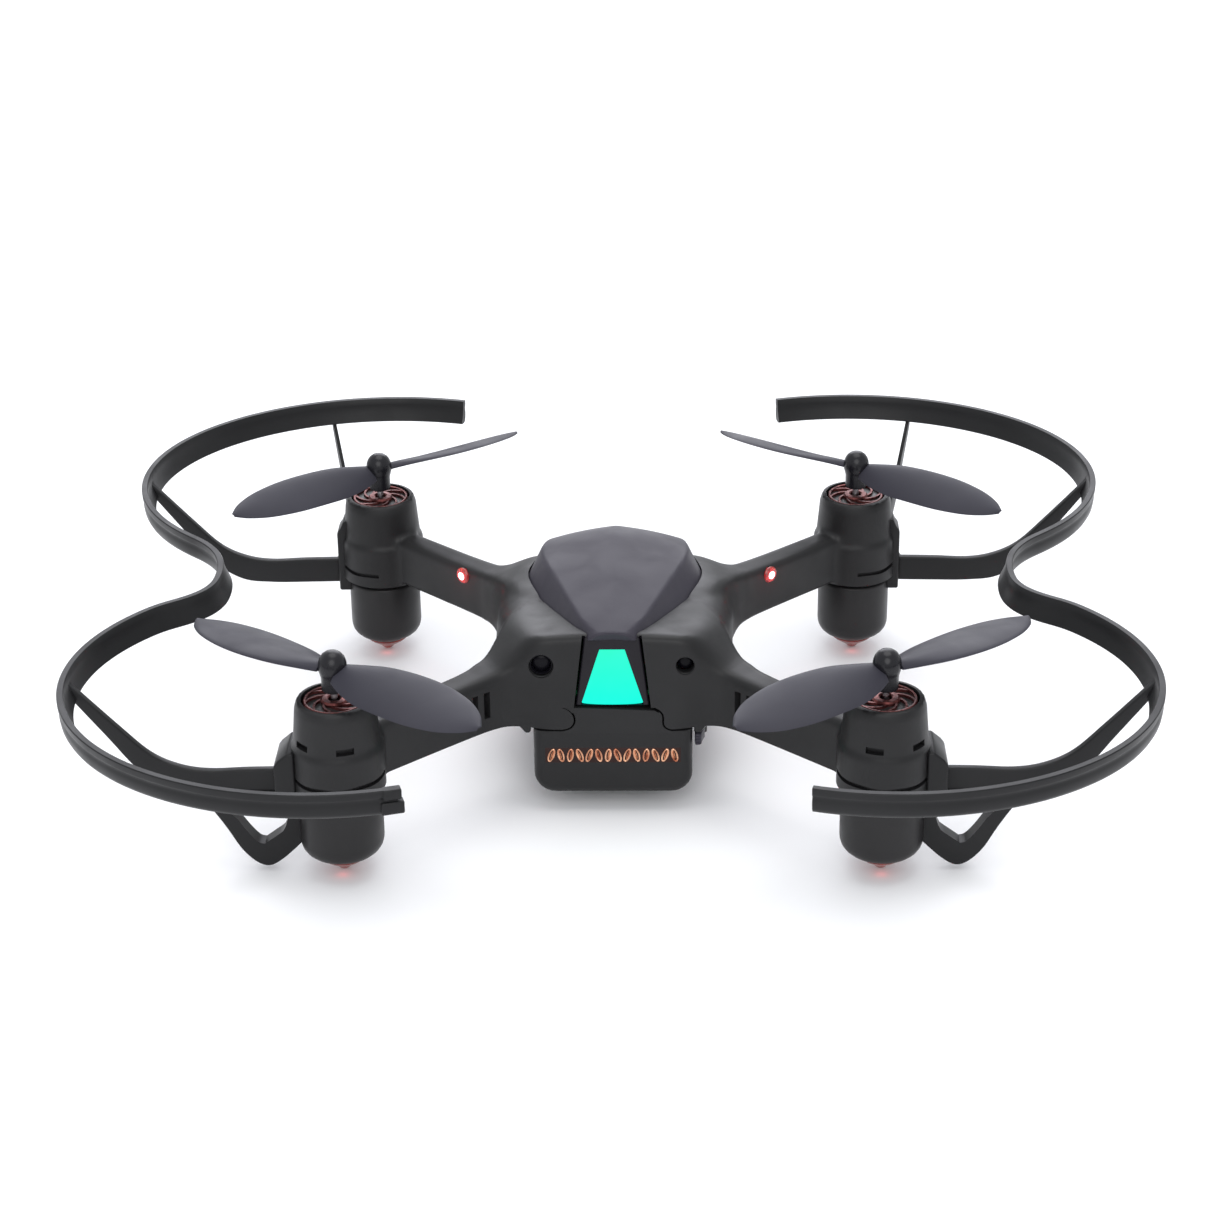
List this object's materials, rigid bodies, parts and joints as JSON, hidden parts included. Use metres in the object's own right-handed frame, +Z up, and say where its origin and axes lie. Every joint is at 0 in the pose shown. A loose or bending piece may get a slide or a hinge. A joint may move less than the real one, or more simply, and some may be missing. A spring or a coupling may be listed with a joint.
{
  "type": "mini quadcopter drone",
  "caption": "Palm-size quadcopter with ribbon propeller guards, motor pods that serve as feet, a lit nose window and a battery that slides out of the front.",
  "frame": {"origin": "on the ground, centred under the hull between the four pod feet", "axes": "+Z up, -Y the nose, +X across the body; the longest extent is X over the two guards"},
  "size_m": [0.1552, 0.1408, 0.0353],
  "materials": {
    "matte_black": "fine-grained matt black moulding",
    "satin_grey": "dark grey satin moulding",
    "copper": "red-brown plated metal",
    "motor_steel": "plated steel",
    "red_lens": "translucent red lens over a light-emitting diode",
    "teal_glow": "lit translucent light window",
    "circuit_green": "solder-masked circuit board",
    "chip_black": "moulded chip package",
    "lens_glass": "dark coated glass",
    "cell_foil": "aluminium foil pouch",
    "white_plastic": "natural nylon connector body",
    "wire_red": "red silicone insulation"
  },
  "bodies": {
    "airframe": {"upper_shell": "matte_black", "canopy": "satin_grey", "lower_shell": "matte_black", "light_bezel": "matte_black", "light_window": "teal_glow", "light_board": "circuit_green", "camera_bezel": "matte_black", "camera_lens": "lens_glass", "camera_module": "circuit_green", "sensor_window": "lens_glass", "battery_socket": "copper", "main_board": "circuit_green", "processor_chip": "chip_black", "receiver_module": "motor_steel", "antenna": "wire_red", "guard_left": "matte_black", "guard_right": "matte_black", "pod_cap_front_left": "matte_black", "foot_light_front_left": "red_lens", "motor_can_front_left": "motor_steel", "motor_plate_front_left": "copper", "motor_leads_front_left": "wire_red", "belly_screw_front_left": "motor_steel", "pod_cap_front_right": "matte_black", "foot_light_front_right": "red_lens", "motor_can_front_right": "motor_steel", "motor_plate_front_right": "copper", "motor_leads_front_right": "wire_red", "belly_screw_front_right": "motor_steel", "pod_cap_rear_left": "matte_black", "foot_light_rear_left": "red_lens", "motor_can_rear_left": "motor_steel", "motor_plate_rear_left": "copper", "motor_leads_rear_left": "wire_red", "belly_screw_rear_left": "motor_steel", "pod_cap_rear_right": "matte_black", "foot_light_rear_right": "red_lens", "motor_can_rear_right": "motor_steel", "motor_plate_rear_right": "copper", "motor_leads_rear_right": "wire_red", "belly_screw_rear_right": "motor_steel", "arm_light_rear_left": "red_lens", "arm_light_rear_right": "red_lens"},
    "battery": {"battery_case": "matte_black", "battery_cell": "cell_foil", "battery_plug": "white_plastic", "battery_cap": "matte_black", "contact_strip": "copper"},
    "latch": {"battery_latch": "satin_grey"},
    "button": {"power_button": "satin_grey"},
    "rotor_front_left": {"shaft_front_left": "motor_steel", "propeller_front_left": "satin_grey"},
    "rotor_front_right": {"shaft_front_right": "motor_steel", "propeller_front_right": "satin_grey"},
    "rotor_rear_left": {"shaft_rear_left": "motor_steel", "propeller_rear_left": "satin_grey"},
    "rotor_rear_right": {"shaft_rear_right": "motor_steel", "propeller_rear_right": "satin_grey"}
  },
  "joints": [
    {"name": "propeller_spin_front_left", "type": "hinge", "parent": "airframe", "child": "rotor_front_left", "pos_m": [-0.039, -0.0358, 0.0324], "axis": [0, 0, 1], "continuous": true},
    {"name": "propeller_spin_front_right", "type": "hinge", "parent": "airframe", "child": "rotor_front_right", "pos_m": [0.039, -0.0358, 0.0324], "axis": [0, 0, 1], "continuous": true},
    {"name": "propeller_spin_rear_left", "type": "hinge", "parent": "airframe", "child": "rotor_rear_left", "pos_m": [-0.039, 0.0358, 0.0324], "axis": [0, 0, 1], "continuous": true},
    {"name": "propeller_spin_rear_right", "type": "hinge", "parent": "airframe", "child": "rotor_rear_right", "pos_m": [0.039, 0.0358, 0.0324], "axis": [0, 0, 1], "continuous": true},
    {"name": "battery_slide", "type": "slide", "parent": "airframe", "child": "battery", "axis": [0, -1, 0], "range_m": [0, 0.045]},
    {"name": "battery_latch_swing", "type": "hinge", "parent": "airframe", "child": "latch", "pos_m": [0.0132, -0.0116, 0.0119], "axis": [0, 0, 1], "range_deg": [0, 12], "stiffness_Nm_per_rad": 0.002, "springref_deg": -5.73},
    {"name": "power_button_press", "type": "slide", "parent": "airframe", "child": "button", "axis": [0, -1, 0], "range_m": [0, 0.0008], "stiffness_N_per_m": 400, "springref_m": -0.0003}
  ]
}
